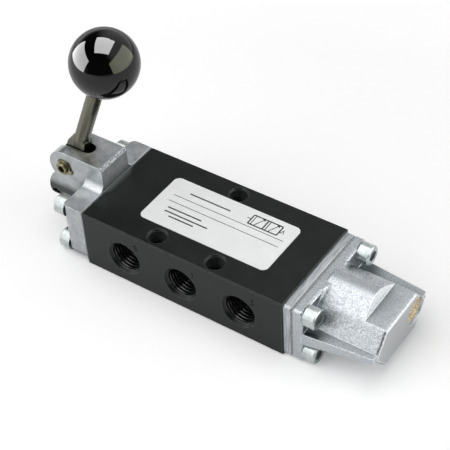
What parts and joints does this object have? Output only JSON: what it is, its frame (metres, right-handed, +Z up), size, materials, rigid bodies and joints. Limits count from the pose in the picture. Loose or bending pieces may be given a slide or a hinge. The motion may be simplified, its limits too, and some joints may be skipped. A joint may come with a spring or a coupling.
{
  "type": "hand lever air valve",
  "caption": "Spool valve block with threaded ports, a ball-ended hand lever in a cast clevis at one end and a cast spring return cap at the other.",
  "frame": {"origin": "centre of the valve block's bottom face", "axes": "+X along the spool towards the spring cap, -Y towards the side with three ports, +Z up"},
  "size_m": [0.1514, 0.0444, 0.0931],
  "materials": {
    "body_block": "black anodised, satin",
    "casting": "die cast, bead blasted",
    "plate": "milled",
    "plated_steel": "zinc plated",
    "lever_steel": "oiled",
    "pin_steel": "passivated",
    "knob_plastic": "polished phenolic",
    "brass": "turned",
    "sintered_bronze": "sintered",
    "seal_rubber": "moulded",
    "gasket": "compressed fibre sheet",
    "spool_metal": "ground and polished",
    "spring_steel": "drawn wire",
    "spacer_plastic": "moulded acetal",
    "foil": "satin foil"
  },
  "bodies": {
    "valve": {"valve_body": "body_block", "lever_housing": "casting", "housing_gasket": "gasket", "housing_screws": "plated_steel", "rod_bush": "sintered_bronze", "rod_wiper": "seal_rubber", "pivot_pin": "pin_steel", "pivot_clips": "pin_steel", "bore_seals": "seal_rubber", "bore_spacers": "spacer_plastic", "spacer_plate": "plate", "cap_gasket": "gasket", "spring_cap": "casting", "cap_screws": "plated_steel", "return_spring": "spring_steel", "thrust_washer": "plated_steel", "breather_disc": "sintered_bronze", "label_foil": "foil"},
    "hand_lever": {"lever": "lever_steel", "knob": "knob_plastic", "knob_insert": "brass", "pivot_bush": "sintered_bronze"},
    "spool_train": {"spool": "spool_metal", "link_pin": "pin_steel", "spring_seat": "plated_steel", "spool_end_screw": "plated_steel"}
  },
  "joints": [
    {"name": "lever_pivot", "type": "hinge", "parent": "valve", "child": "hand_lever", "pos_m": [-0.0634, 0, 0.0286], "axis": [0, -1, 0], "range_deg": [0, 24], "stiffness_Nm_per_rad": 0.665, "springref_deg": -13.75},
    {"name": "spool_slide", "type": "slide", "parent": "valve", "child": "spool_train", "axis": [1, 0, 0], "range_m": [0, 0.00698], "deforming": ["return_spring"]}
  ],
  "couplings": [
    {"joint": "spool_slide", "follows": "lever_pivot", "m_per_rad": 0.01664}
  ]
}
